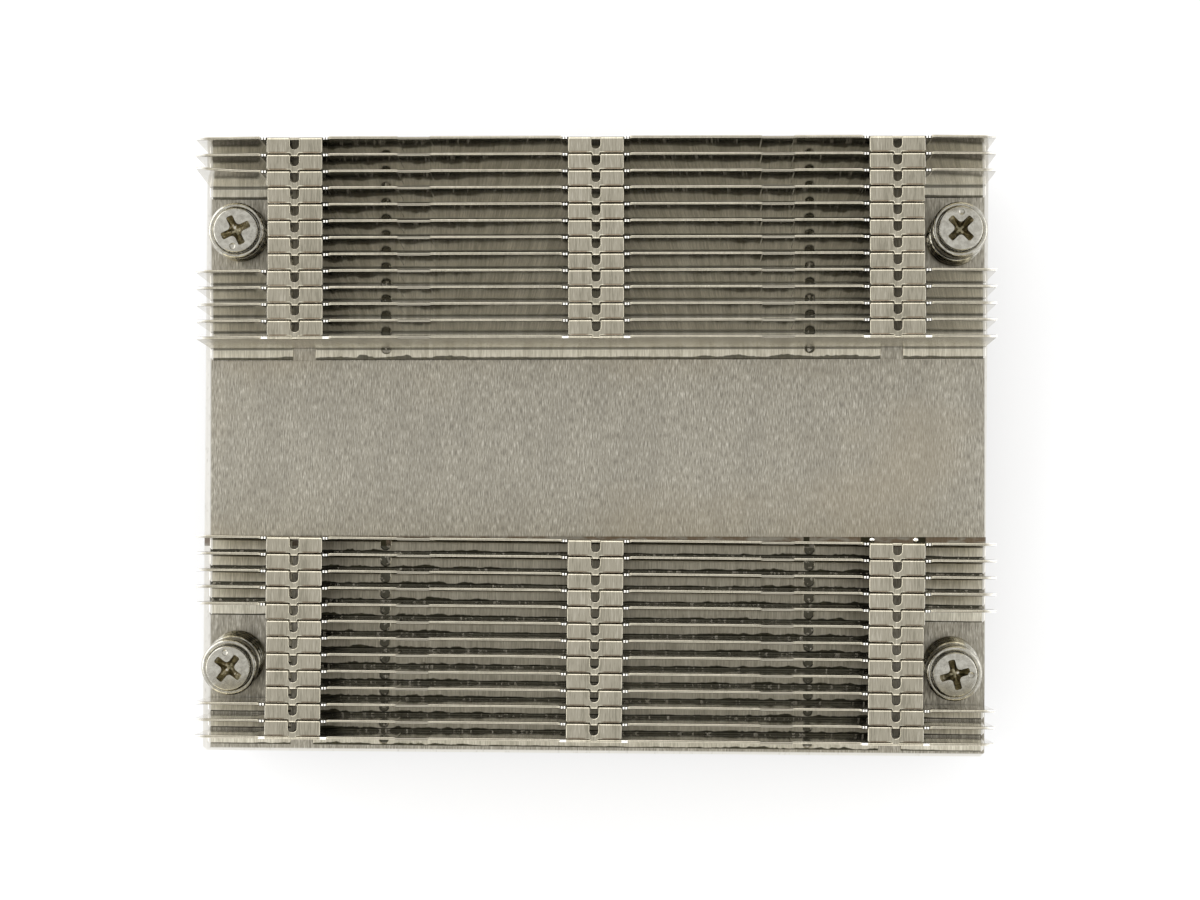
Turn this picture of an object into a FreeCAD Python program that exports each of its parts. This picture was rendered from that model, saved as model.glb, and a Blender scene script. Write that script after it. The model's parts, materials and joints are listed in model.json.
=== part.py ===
"""Passive one-unit server processor cooler: two banks of interlocked folded fins on a flat base.

The origin is the centre of the base's flat contact face, which sits on the processor's lid.
+X runs along the fins (the way the air blows), +Y points to the rear bank and +Z points up to the fin tops.
Every length is in millimetres and every angle is in degrees.
"""

import FreeCAD, Part
import math
import os

from FreeCAD import Placement, Rotation, Vector

X_AXIS = Vector(1, 0, 0)
Z_AXIS = Vector(0, 0, 1)
ORIGIN = Vector(0, 0, 0)

# Base plate
BASE_LENGTH = 103.2
BASE_WIDTH = 80.4
BASE_THICKNESS = 4.0
BASE_CORNER_CUT = 0.5
SCREW_SPACING_X = 94.0
SCREW_SPACING_Y = 56.0
SCREW_HOLE_RADIUS = 2.75
POCKET_RADIUS = 4.2
POCKET_DEPTH = 1.4

# Folded sheet fins
COOLER_HEIGHT = 25.5
SHEET = 0.35
FOLD_FLATS = 1
FIN_LENGTH = 102.4
FIN_HEIGHT = COOLER_HEIGHT - BASE_THICKNESS
FIN_COUNT = 13
FLANGE_DEPTH = 1.86
WALL_START = 1.2

# Clips: a tab with a window at its fold, and a tongue that drops into the next fin's window
TAB_CENTRES = (-38.54, 0.0, 38.54)
TAB_WIDTH = 7.05
TAB_GAP = 0.14
TAB_SHOULDER = 0.7
TONGUE_WIDTH = 1.2
TONGUE_REACH = 0.37
WINDOW_WIDTH = 1.3
WINDOW_DEPTH = 0.5
WINDOW_END = 1.34
WINDOW_END_FLATS = 2

# Holes and slots in the flanges
FOOT_HOLE_CENTRES = (-27.95, 27.95)
SLOT_CENTRES = (-38.8, 38.8)
SLOT_WIDTH = 3.0

# The four corner cut-outs in the banks, which leave room for the screws
SHORT_FIN_LENGTH = 2 * TAB_CENTRES[2] + TAB_WIDTH

# Each bank: the foot of its first wall, its pitch, its turn in plan, its lean and its short fins
BANKS = {
    "rear": {"first_wall": 39.10, "pitch": 2.1234, "turn": 0.63, "lean": 1.8, "shift": 0.1, "short": range(4, 9)},
    "front": {"first_wall": -12.10, "pitch": 2.1287, "turn": -0.135, "lean": 0.75, "shift": 0.2, "short": range(6, 11)},
}

# One fin end in the rear bank is bent outward
BENT_FIN = ("rear", 3)
BENT_FROM = -42.6
BENT_EXTRA_LEAN = 1.6

# Centre plate, whose rear edge follows the rear bank and whose front edge is nearly square to the base
PLATE_LENGTH = 102.4
PLATE_THICKNESS = 0.35
PLATE_FRONT_EDGE = -11.51
PLATE_FRONT_TURN = 0.25
PLATE_GAP = 0.06

# Captive spring screws, M4 with a thinner shank, measured along the screw from the base's top face
THREAD_RADIUS = 2.0
THREAD_END = 10.2
SHANK_RADIUS = 1.7
SEAT_HEIGHT = 6.3
HEAD_STACK = 3.7
COLLAR_RADIUS = 3.65
COLLAR_HEIGHT = 1.5
CAP_RADIUS = 2.9
CROSS_SPAN = 4.4
CROSS_ARM = 1.0
CROSS_DEPTH = 2.0
CROSS_FLOOR_SPAN = 1.9
CROSS_FLOOR_ARM = 0.55

# Coil springs under the screw heads
SPRING_WIRE = 0.84
SPRING_OUTSIDE_RADIUS = 3.7
SPRING_LIVE_TURNS = 2.5
SPRING_CLOSED_TURNS = 0.5
WIRE_SIDES = 5
STEPS_PER_TURN = 9

# Retaining rings, clipped round the screws in pockets under the base
RING_THICKNESS = 0.6
RING_OUTSIDE_RADIUS = 3.4
RING_INSIDE_RADIUS = 1.75
RING_MOUTH_ANGLE = 110.0
RING_PLAY = 0.05
RING_DROP = 0.36

# Each screw's corner, the sideways run of its lean over LEAN_HEIGHT and its cross's turn
LEAN_HEIGHT = 10.0
SCREWS = {
    "rear_left": {"corner": (-1, 1), "lean": (0.0, 0.05), "cross": 26.0},
    "rear_right": {"corner": (1, 1), "lean": (0.35, 0.85), "cross": 45.0},
    "front_left": {"corner": (-1, -1), "lean": (-0.45, -0.85), "cross": 52.0},
    "front_right": {"corner": (1, -1), "lean": (0.06, -0.90), "cross": 15.0},
}


def box(x, y, z):
    """A block that spans three (low, high) pairs."""
    return Part.makeBox(x[1] - x[0], y[1] - y[0], z[1] - z[0], Vector(x[0], y[0], z[0]))


def closed(points):
    """The closed wire through points."""
    return Part.makePolygon(points + points[:1])


def prism(points, run):
    """A straight extrusion of the closed outline through points."""
    return Part.Face(closed(points)).extrude(run)


def disc(radius, centre, height):
    """An upright cylinder standing on centre."""
    return Part.makeCylinder(radius, height, centre, Z_AXIS)


def polar(radius, angle, z=0.0):
    """The point at radius and angle about the Z axis."""
    return Vector(radius * math.cos(math.radians(angle)), radius * math.sin(math.radians(angle)), z)


def joined(pieces):
    """One solid from pieces that meet, with the seams in flat faces taken out."""
    return pieces[0].multiFuse(pieces[1:]).removeSplitter()


# Fins


def folded_outline(first, corner, last, x):
    """The closed outline, in the plane at x, of a sheet folded tight, given its outer side as (y, z) points."""
    start, fold, end = (Vector(x, y, z) for y, z in (first, corner, last))
    before = (start - fold).normalize()
    after = (end - fold).normalize()
    half = before.getAngle(after) / 2
    inside = fold + (before + after).normalize() * (SHEET / math.sin(half))
    reach = SHEET / math.tan(half)
    fold_start = fold + before * reach - inside
    fold_end = fold + after * reach - inside
    sweep = math.degrees(fold_start.getAngle(fold_end))
    side = 1 if fold_start.cross(fold_end).x > 0 else -1
    turned = [Rotation(X_AXIS, side * sweep * k / FOLD_FLATS).multVec(fold_start) for k in range(FOLD_FLATS + 1)]
    outer = [start] + [inside + point for point in turned] + [end]
    return outer + [end - fold_end, inside, start - fold_start]


def leaning(shape, lean):
    """The shape, made on an upright wall, turned outward about the foot of that wall."""
    return shape.transformed(Placement(ORIGIN, Rotation(X_AXIS, -lean)).toMatrix())


def wall_point(up, lean):
    """The (y, z) point on the wall's outer face at a distance up the wall."""
    return up * math.sin(math.radians(lean)), up * math.cos(math.radians(lean))


def foot_outline(x, lean, top):
    """The outline of the flange, its fold and the wall as far as top."""
    return folded_outline((-FLANGE_DEPTH, 0.0), (0.0, 0.0), wall_point(top, lean), x)


def flange(length, lean):
    """The flange with its fold and the foot of the wall."""
    return prism(foot_outline(-length / 2, lean, WALL_START), X_AXIS * length)


def wall(length):
    """The upright wall above its fold."""
    return box((-length / 2, length / 2), (-SHEET, 0), (WALL_START, FIN_HEIGHT))


def tab(centre, depth):
    """A top tab with its fold and the short shoulder of wall that it grows from."""
    left = centre - TAB_WIDTH / 2
    outline = folded_outline((-depth, FIN_HEIGHT), (0.0, FIN_HEIGHT), (0.0, FIN_HEIGHT - TAB_SHOULDER), left)
    return prism(outline, X_AXIS * TAB_WIDTH)


def tongue(centre, depth, pitch):
    """The tongue from a tab's free edge to just inside the next fin's window."""
    side = TONGUE_WIDTH / 2
    return box((centre - side, centre + side), (-pitch - TONGUE_REACH, -depth), (FIN_HEIGHT - SHEET, FIN_HEIGHT))


def window(centre, start, low, high):
    """The cut for a hole that is square where it starts, beside a fold, and round at its far end."""
    radius = WINDOW_WIDTH / 2
    end_centre = Vector(centre, radius - WINDOW_END, low)
    round_end = [end_centre + polar(radius, -180 * k / WINDOW_END_FLATS) for k in range(WINDOW_END_FLATS + 1)]
    square_end = [Vector(centre - radius, start, low), Vector(centre + radius, start, low)]
    return prism(square_end + round_end, Z_AXIS * (high - low))


def clipped_top(sheet, pitch):
    """The wall with its three top clips."""
    depth = pitch - TAB_GAP
    half = TAB_WIDTH / 2
    shoulder = (FIN_HEIGHT - TAB_SHOULDER, FIN_HEIGHT)
    corners = [box((centre - half, centre + half), (-SHEET, 0), shoulder) for centre in TAB_CENTRES]
    tabs = [tab(centre, depth) for centre in TAB_CENTRES]
    tongues = [tongue(centre, depth, pitch) for centre in TAB_CENTRES]
    return sheet.cut(corners).multiFuse(tabs + tongues)


def foot_cuts():
    """The slots and holes that are stamped through the flange."""
    side = SLOT_WIDTH / 2
    slots = [box((centre - side, centre + side), (-2 * FLANGE_DEPTH, -SHEET), (0, SHEET)) for centre in SLOT_CENTRES]
    return slots + [window(centre, -SHEET, 0, SHEET) for centre in FOOT_HOLE_CENTRES]


def bent_end(fin, lean):
    """The fin with its left end bent outward, as a ruled run between two leans."""
    start, end = BENT_FROM, -FIN_LENGTH / 2
    beyond = box((end - 1, start), (-2 * FLANGE_DEPTH, FLANGE_DEPTH), (-SHEET, 2 * FIN_HEIGHT))
    outlines = [
        closed(foot_outline(start, lean, FIN_HEIGHT)),
        closed(foot_outline(end, lean + BENT_EXTRA_LEAN, FIN_HEIGHT)),
    ]
    return fin.cut(beyond).fuse(Part.makeLoft(outlines, True, True))


def fin(bank_name, number):
    """One stamped and folded fin in its place on the base."""
    bank = BANKS[bank_name]
    lean, pitch = bank["lean"], bank["pitch"]
    length = SHORT_FIN_LENGTH if number in bank["short"] else FIN_LENGTH
    upper = wall(length) if number == FIN_COUNT else clipped_top(wall(length), pitch)
    windows = [window(centre, SHEET, FIN_HEIGHT - WINDOW_DEPTH, FIN_HEIGHT + SHEET) for centre in TAB_CENTRES]
    shape = joined([flange(length, lean).cut(foot_cuts()), leaning(upper.cut(windows), lean)])
    if (bank_name, number) == BENT_FIN:
        shape = bent_end(shape, lean)
    shape.translate(Vector(0, -(number - 1) * pitch, 0))
    return shape.removeSplitter().transformed(bank_placement(bank).toMatrix())


def bank_placement(bank):
    """From a bank's own frame, whose X axis is the foot of its first wall, to the cooler's frame."""
    middle = Vector(bank["shift"], bank["first_wall"], BASE_THICKNESS)
    return Placement(middle, Rotation(Z_AXIS, bank["turn"]))


# Base and centre plate


def screw_places():
    """Each screw's name with the centre of its hole."""
    return {
        name: Vector(row["corner"][0] * SCREW_SPACING_X / 2, row["corner"][1] * SCREW_SPACING_Y / 2, 0)
        for name, row in SCREWS.items()
    }


def base_plate():
    """The flat base, with four screw holes and, under them, the pockets that keep the rings off the contact face."""
    x, y = BASE_LENGTH / 2, BASE_WIDTH / 2
    plate = box((-x, x), (-y, y), (0, BASE_THICKNESS))
    upright = [edge for edge in plate.Edges if abs(edge.tangentAt(edge.FirstParameter).z) > 0.9]
    plate = plate.makeChamfer(BASE_CORNER_CUT, upright)
    holes = [disc(SCREW_HOLE_RADIUS, place, BASE_THICKNESS) for place in screw_places().values()]
    pockets = [disc(POCKET_RADIUS, place, POCKET_DEPTH) for place in screw_places().values()]
    return plate.cut(holes + pockets)


def centre_plate():
    """The bare plate between the banks, with a rear edge that lies along the last rear flange."""
    rear = BANKS["rear"]
    last_edge = -(FIN_COUNT - 1) * rear["pitch"] - FLANGE_DEPTH - PLATE_GAP
    rear_edge = [bank_placement(rear).multVec(Vector(x, last_edge, 0)) for x in (-PLATE_LENGTH, PLATE_LENGTH)]
    slope = math.tan(math.radians(PLATE_FRONT_TURN))
    front_edge = [Vector(x, PLATE_FRONT_EDGE + x * slope, BASE_THICKNESS) for x in (PLATE_LENGTH, -PLATE_LENGTH)]
    blank = prism(rear_edge + front_edge, Z_AXIS * PLATE_THICKNESS)
    half = PLATE_LENGTH / 2
    return blank.common(box((-half, half), (-BASE_WIDTH, BASE_WIDTH), (0, COOLER_HEIGHT)))


# Screws, springs and retaining rings


def screw_placement(name):
    """From a screw's own frame, with its axis up and z 0 at the base's top face, to the cooler's frame."""
    run_x, run_y = SCREWS[name]["lean"]
    axis = Vector(run_x, run_y, LEAN_HEIGHT).normalize()
    hole_middle = screw_places()[name] + Z_AXIS * (BASE_THICKNESS / 2)
    return Placement(hole_middle + axis * (BASE_THICKNESS / 2), Rotation(Z_AXIS, axis))


def ring_top():
    """The height of the retaining ring's upper face in a screw's own frame, just under its pocket's floor."""
    return POCKET_DEPTH - BASE_THICKNESS - RING_DROP


def screw_profile():
    """Half the turned outline of a screw, from its tip to the top of its head, as (radius, height) points."""
    collar_top = SEAT_HEIGHT + COLLAR_HEIGHT
    thread_start = ring_top() - RING_THICKNESS - RING_PLAY
    return [
        (0.0, -THREAD_END),
        (THREAD_RADIUS, -THREAD_END),
        (THREAD_RADIUS, thread_start),
        (SHANK_RADIUS, thread_start),
        (SHANK_RADIUS, SEAT_HEIGHT),
        (COLLAR_RADIUS, SEAT_HEIGHT),
        (COLLAR_RADIUS, collar_top),
        (CAP_RADIUS, collar_top),
        (CAP_RADIUS, SEAT_HEIGHT + HEAD_STACK),
        (0.0, SEAT_HEIGHT + HEAD_STACK),
    ]


def cross_blade(top):
    """One of the two tapered blades of the recess that a screwdriver fits."""
    long_top, wide_top = CROSS_SPAN / 2, CROSS_ARM / 2
    long_floor, wide_floor = CROSS_FLOOR_SPAN / 2, CROSS_FLOOR_ARM / 2
    wedge = Part.makeWedge(
        -long_floor, 0, -wide_floor, -wide_top, -long_top, long_floor, CROSS_DEPTH, wide_floor, wide_top, long_top
    )
    wedge.rotate(ORIGIN, X_AXIS, 90)
    wedge.translate(Vector(0, 0, top - CROSS_DEPTH))
    return wedge


def captive_screw(name):
    """One cross-head captive screw, leaning in its hole."""
    row = SCREWS[name]
    points = [Vector(r, 0, z) for r, z in screw_profile()]
    body = Part.Face(closed(points)).revolve(ORIGIN, Z_AXIS, 360)
    top = SEAT_HEIGHT + HEAD_STACK
    blades = [cross_blade(top), cross_blade(top)]
    blades[0].rotate(ORIGIN, Z_AXIS, row["cross"])
    blades[1].rotate(ORIGIN, Z_AXIS, row["cross"] + 90)
    return body.cut(blades).transformed(screw_placement(name).toMatrix())


def retaining_ring(name):
    """The open ring round the shank, which keeps the screw in the base."""
    low, high = ring_top() - RING_THICKNESS, ring_top()
    inside, outside = RING_INSIDE_RADIUS, RING_OUTSIDE_RADIUS
    corners = [(inside, low), (outside, low), (outside, high), (inside, high)]
    section = Part.Face(closed([Vector(r, 0, z) for r, z in corners]))
    ring = section.revolve(ORIGIN, Z_AXIS, 360 - RING_MOUTH_ANGLE)
    ring.rotate(ORIGIN, Z_AXIS, SCREWS[name]["cross"])
    return ring.transformed(screw_placement(name).toMatrix())


def coil_height(turn, height):
    """The height of the wire's middle after a number of turns: closed end, live coils, closed end."""
    closed_rise = SPRING_CLOSED_TURNS * SPRING_WIRE
    live_rise = height - SPRING_WIRE - 2 * closed_rise
    live = min(max(turn - SPRING_CLOSED_TURNS, 0.0), SPRING_LIVE_TURNS)
    closed = turn - live
    return SPRING_WIRE / 2 + closed * SPRING_WIRE + live * live_rise / SPRING_LIVE_TURNS


def coil_spring(name):
    """A round-wire spring between the base and the screw's head, drawn over sideways by the screw."""
    run_x, run_y = (run / LEAN_HEIGHT for run in SCREWS[name]["lean"])
    tilt_drop = COLLAR_RADIUS * math.hypot(run_x, run_y)
    height = SEAT_HEIGHT - tilt_drop - 0.02
    radius = SPRING_OUTSIDE_RADIUS - SPRING_WIRE / 2
    turns = SPRING_LIVE_TURNS + 2 * SPRING_CLOSED_TURNS
    steps = round(turns * STEPS_PER_TURN)
    sections = []
    for step in range(steps + 1):
        turn = turns * step / steps
        angle = 360.0 * turn
        z = coil_height(turn, height)
        side = polar(1.0, angle)
        corners = []
        for k in range(WIRE_SIDES):
            around = math.radians(360.0 * (k + 0.5) / WIRE_SIDES)
            out = radius + SPRING_WIRE / 2 * math.cos(around)
            up = z + SPRING_WIRE / 2 * math.sin(around)
            corners.append(side * out + Vector(run_x * z, run_y * z, up))
        sections.append(closed(corners))
    spring = Part.makeLoft(sections, True, True)
    spring.translate(screw_places()[name] + Z_AXIS * (BASE_THICKNESS + 0.01))
    return spring


def write(name, shape):
    """Check one sub-part and write it to its own file."""
    solids = shape.Solids
    if len(solids) != 1 or not shape.isValid() or shape.Volume <= 0:
        raise ValueError(f"{name} isn't one sound solid: {len(solids)} solids, valid {shape.isValid()}")
    solids[0].exportStep(os.path.join("parts", f"{name}.step"))


def main():
    os.makedirs("parts", exist_ok=True)
    write("base_plate", base_plate())
    write("centre_plate", centre_plate())
    for bank_name in BANKS:
        for number in range(1, FIN_COUNT + 1):
            write(f"{bank_name}_fin_{number:02d}", fin(bank_name, number))
    for name in SCREWS:
        write(f"screw_{name}", captive_screw(name))
        write(f"spring_{name}", coil_spring(name))
        write(f"retaining_ring_{name}", retaining_ring(name))


main()
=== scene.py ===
import json
import math

import bmesh
import bpy
from mathutils import Matrix, Vector
from mathutils.geometry import delaunay_2d_cdt


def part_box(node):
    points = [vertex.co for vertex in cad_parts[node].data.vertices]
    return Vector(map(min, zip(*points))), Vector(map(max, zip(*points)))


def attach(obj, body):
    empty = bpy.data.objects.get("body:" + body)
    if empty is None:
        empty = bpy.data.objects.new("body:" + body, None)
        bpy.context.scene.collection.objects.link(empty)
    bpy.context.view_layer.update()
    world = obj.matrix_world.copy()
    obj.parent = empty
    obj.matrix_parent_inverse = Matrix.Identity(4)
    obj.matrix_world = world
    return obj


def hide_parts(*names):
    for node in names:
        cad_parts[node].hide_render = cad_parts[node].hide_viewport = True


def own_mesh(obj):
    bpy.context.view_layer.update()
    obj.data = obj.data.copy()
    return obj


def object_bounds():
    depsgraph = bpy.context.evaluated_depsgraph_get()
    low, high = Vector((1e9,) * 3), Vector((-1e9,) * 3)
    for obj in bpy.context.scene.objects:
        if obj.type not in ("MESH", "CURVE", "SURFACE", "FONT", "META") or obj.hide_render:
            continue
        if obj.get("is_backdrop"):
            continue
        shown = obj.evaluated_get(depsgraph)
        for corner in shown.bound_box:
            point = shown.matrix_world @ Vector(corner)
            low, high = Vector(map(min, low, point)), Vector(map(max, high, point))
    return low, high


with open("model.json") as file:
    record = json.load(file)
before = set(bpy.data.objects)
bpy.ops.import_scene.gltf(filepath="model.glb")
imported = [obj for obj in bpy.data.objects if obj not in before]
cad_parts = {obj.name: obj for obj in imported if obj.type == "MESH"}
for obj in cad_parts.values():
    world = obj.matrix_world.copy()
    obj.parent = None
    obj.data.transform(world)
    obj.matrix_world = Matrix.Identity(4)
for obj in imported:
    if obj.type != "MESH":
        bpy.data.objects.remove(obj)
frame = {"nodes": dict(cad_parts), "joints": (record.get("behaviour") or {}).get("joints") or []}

CAD_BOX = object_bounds()
MM = 0.001

# Stamped sheet fins, in millimetres until they are set down on the base
SHEET = 0.35
FOLD_INSIDE = 0.01
FOLD_MIDDLE = FOLD_INSIDE + SHEET / 2
FOLD_OUTSIDE = FOLD_INSIDE + SHEET
FOLD_RUN = FOLD_MIDDLE * math.pi / 2
FOLD_STEPS = 6
FIN_LENGTH = 102.4
SHORT_FIN_LENGTH = 84.13
FIN_HEIGHT = 21.5
FIN_COUNT = 13
FLANGE_DEPTH = 1.86
FLANGE_FREE = FOLD_OUTSIDE - FOLD_RUN - (FLANGE_DEPTH - FOLD_OUTSIDE)
FLANGE_CORNER_CUT = 0.3
TAB_CENTRES = (-38.54, 0.0, 38.54)
TAB_WIDTH = 7.12
TAB_GAP = 0.08
TAB_CORNER_CUT = 0.12
TONGUE_WIDTH = 0.95
TONGUE_ROOT = (0.12, 0.08)
TONGUE_CORNER_CUT = 0.1
TONGUE_REACH = 0.42
TONGUE_BEND = 0.03
TONGUE_BEND_RADIUS = 0.20
WINDOW_WIDTH = 1.14
WINDOW_SILL = 0.5
WINDOW_END = 1.58
FOOT_HOLE_WIDTH = 1.3
FOOT_HOLE_CENTRES = (-27.95, 27.95)
SLOT_CENTRES = (-38.8, 38.8)
SLOT_WIDTH = 3.0
ROUND_STEPS = 10
LINE_OVERRUN = 0.05
CORNER_STEPS = 4

# Relief cuts beside each tab, as distances from the tab's edge: two teeth stand between three gaps
RELIEF_DEPTH = 0.5
RELIEF_TEETH = ((0.10, 0.34), (0.44, 0.68))
RELIEF_GAP_DEPTH = 0.28
RELIEF_END = 0.78

# The walls stand a little proud between the tabs and the pressed panels
PROUD = 0.09
END_FADE = (42.5, 51.2)
PROUD_FOOT = (2.0, 7.0)
PANEL_CENTRES = (-23.3, 23.3)
PANEL_HALF = 2.15
PANEL_RAMP = 0.14
TAB_ZONE = 0.72
TAB_ZONE_RAMP = 0.28

# The cut edges of the sheet are rubbed round: (outward, across) steps of the rim
RIM = ((0.0, SHEET / 2), (0.06, 0.125), (0.09, 0.06), (0.09, -0.06), (0.06, -0.125), (0.0, -SHEET / 2))
RIM_OUT = 0.09

# Each bank's pitch, its turn and its lean in degrees, its short fins and its bent one, its slide from the solids,
# how much of the proud step its fins' ends keep, and how far out on the flange a foot hole's round end has its middle
BANKS = {
    "rear": {
        "pitch": 2.1234, "turn": 0.57, "lean": 1.8, "short": (4, 8), "bent": 3,
        "slide": (-0.16, 0.105), "ends": 0.0, "hole": 0.02,
    },
    "front": {
        "pitch": 2.1287, "turn": -0.135, "lean": 0.75, "short": (6, 10), "bent": None,
        "slide": (0.155, 0.08), "ends": 1.0, "hole": 0.60,
    },
}
TAB_EDGE = FIN_HEIGHT - 2 * FOLD_OUTSIDE + FOLD_RUN + BANKS["front"]["pitch"] - TAB_GAP

# The bent fin turns to the rear from here on, through these places, by a rise at its end
BENT_FROM = -42.6
BENT_PLACES = (-50.0, -48.0, -46.0, -44.0, BENT_FROM)
BENT_RISE = 0.60

# Captive screws and springs
HOLE_MIDDLE_TO_DECK = 2.0
THREAD_END = -10.2
THREAD_START = -3.61
THREAD_ROOT = 1.69
THREAD_CREST = 2.0
THREAD_PITCH = 0.7
THREAD_WIRE_RADIUS = 0.19
SHANK_RADIUS = 1.6
SEAT_HEIGHT = 6.3
COLLAR_RADIUS = 3.65
COLLAR_TOP = 8.9
HEAD_TOP = 10.0
CAP_RADIUS = 2.9
THREAD_CHAMFER = 0.35
COLLAR_FOOT_ROUND = 0.15
COLLAR_ROUND = 0.30
LIP_ROUND = 0.22
LIP_OUT = 0.30
CAP_ROUND = 0.14
GROOVE_WIDTH = 0.05
GROOVE_DEPTH = 0.75
CROSS_SPAN = 4.0
CROSS_ARM = 0.92
CROSS_FILLET = 0.50
CROSS_LEVELS = ((1.0, 0.0), (0.95, -0.10), (0.62, -1.0), (0.30, -1.5))
DIMPLE_RADIUS = 0.42
DIMPLE_OUT = 2.12
DIMPLE_LEVELS = ((1.0, 0.0), (0.86, -0.10), (0.45, -0.16))
CROSS_TURNS = {"rear_left": 26.0, "rear_right": 45.0, "front_left": 52.0, "front_right": 15.0}
DIMPLE_TURNS = {"rear_left": -100.0, "rear_right": 88.0, "front_left": 100.0, "front_right": 0.0}
SPRING_WIRE = 0.84
SPRING_OUTSIDE_RADIUS = 3.7
SPRING_LIVE_TURNS = 2.5
SPRING_CLOSED_TURNS = 0.5
SPRING_STEPS = 169

# A spring stands clear of the deck, more so by its lean, and of its seat
SPRING_CLEARANCE = 0.02
SPRING_LEAN_SHARE = 0.7
SEAT_CLEARANCE = 0.01


# Shared mesh work


def mesh_object(name, points, faces, materials=()):
    """A new object whose mesh has these points, in millimetres, and faces."""
    mesh = bpy.data.meshes.new(name)
    mesh.from_pydata([Vector(p) * MM for p in points], [], faces)
    for material in materials:
        mesh.materials.append(material)
    mesh.validate()
    piece = bpy.data.objects.new(name, mesh)
    bpy.context.scene.collection.objects.link(piece)
    return piece


def smooth(piece, sharp_over=40.0):
    """Smooth shading, except over edges that turn sharply."""
    piece.data.shade_smooth()
    piece.data.set_sharp_from_angle(angle=math.radians(sharp_over))
    return piece


def arc(radius, centre, start, end, steps):
    """Points along an arc, from the start angle to the end angle in degrees."""
    turns = [math.radians(start + (end - start) * k / steps) for k in range(steps + 1)]
    return [(centre[0] + radius * math.cos(a), centre[1] + radius * math.sin(a)) for a in turns]


def odd_crossings(point, loops):
    """Whether a point lies inside the outer loop and outside every hole."""
    x, y = point
    inside = False
    for loop in loops:
        for (ax, ay), (bx, by) in zip(loop, loop[1:] + loop[:1]):
            if (ay > y) != (by > y) and x < ax + (y - ay) * (bx - ax) / (by - ay):
                inside = not inside
    return inside


def inset(loop, distance):
    """The loop moved in by a distance, with the material on its left."""
    moved = []
    for before, here, after in zip(loop[-1:] + loop[:-1], loop, loop[1:] + loop[:1]):
        moved.append(tuple(Vector(here) - corner_direction(before, here, after) * distance))
    return moved


def corner_direction(before, here, after):
    """The way out of the material at a corner, as long as the corner needs to move one unit."""
    one = (Vector(here) - Vector(before)).normalized()
    two = (Vector(after) - Vector(here)).normalized()
    out_one, out_two = Vector((one.y, -one.x)), Vector((two.y, -two.x))
    middle = (out_one + out_two).normalized()
    return middle / max(middle.dot(out_one), 0.5)


def cut_out(loops, lines):
    """Triangles of the flat area inside the loops, with edges along the loops and the lines."""
    points, edges = [], []
    for loop in loops:
        first = len(points)
        points += [Vector(p) for p in loop]
        edges += [(first + k, first + (k + 1) % len(loop)) for k in range(len(loop))]
    for start, end in lines:
        edges.append((len(points), len(points) + 1))
        points += [Vector(start), Vector(end)]
    corners, _, faces, _, _, _ = delaunay_2d_cdt(points, edges, [], 0, 1e-5)
    kept = [face for face in faces if odd_crossings(sum((corners[k] for k in face), Vector((0, 0))) / 3, loops)]
    used = sorted({k for face in kept for k in face})
    place = {k: number for number, k in enumerate(used)}
    return [corners[k] for k in used], [tuple(place[k] for k in face) for face in kept]


def rim_edges(faces):
    """The edges that only one face has, in the order in which that face goes round."""
    seen = {(face[k], face[(k + 1) % 3]) for face in faces for k in range(3)}
    return [edge for edge in seen if (edge[1], edge[0]) not in seen]


# Fins


def tab_outline(centre, depth):
    """The top edge of a fin from the right of one tab to its left, with its reliefs, its tab and its tongue."""
    half = TAB_WIDTH / 2
    floor = FIN_HEIGHT - RELIEF_DEPTH
    side = [(half + RELIEF_END, FIN_HEIGHT), (half + RELIEF_END, FIN_HEIGHT - RELIEF_GAP_DEPTH)]
    for near, far in reversed(RELIEF_TEETH):
        side += [(half + far, FIN_HEIGHT - RELIEF_GAP_DEPTH), (half + far, FIN_HEIGHT)]
        side += [(half + near, FIN_HEIGHT), (half + near, FIN_HEIGHT - RELIEF_GAP_DEPTH)]
    side[-1] = (side[-1][0], floor)
    side.append((half, floor))
    edge = FIN_HEIGHT - FOLD_OUTSIDE + FOLD_RUN + depth - FOLD_OUTSIDE
    end = edge + TAB_GAP + TONGUE_REACH
    side += [(half, edge - TAB_CORNER_CUT), (half - TAB_CORNER_CUT, edge)]
    reach = TONGUE_WIDTH / 2
    side += [(reach + TONGUE_ROOT[0], edge), (reach, edge + TONGUE_ROOT[1])]
    side += [(reach, end - TONGUE_CORNER_CUT), (reach - TONGUE_CORNER_CUT, end)]
    mirrored = [(-u, s) for u, s in reversed(side)]
    return [(centre + u, s) for u, s in side + mirrored]


def window(centre, width, sill, end_centre):
    """A hole that is square at its sill and round at its other end, clockwise."""
    radius = width / 2
    away = 1 if end_centre > sill else -1
    rounded = arc(radius, (0.0, end_centre), 180.0 * away, 0.0, ROUND_STEPS)
    loop = [(centre + u, s) for u, s in [(radius, sill), (-radius, sill)] + rounded]
    return loop if away > 0 else loop[::-1]


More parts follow.
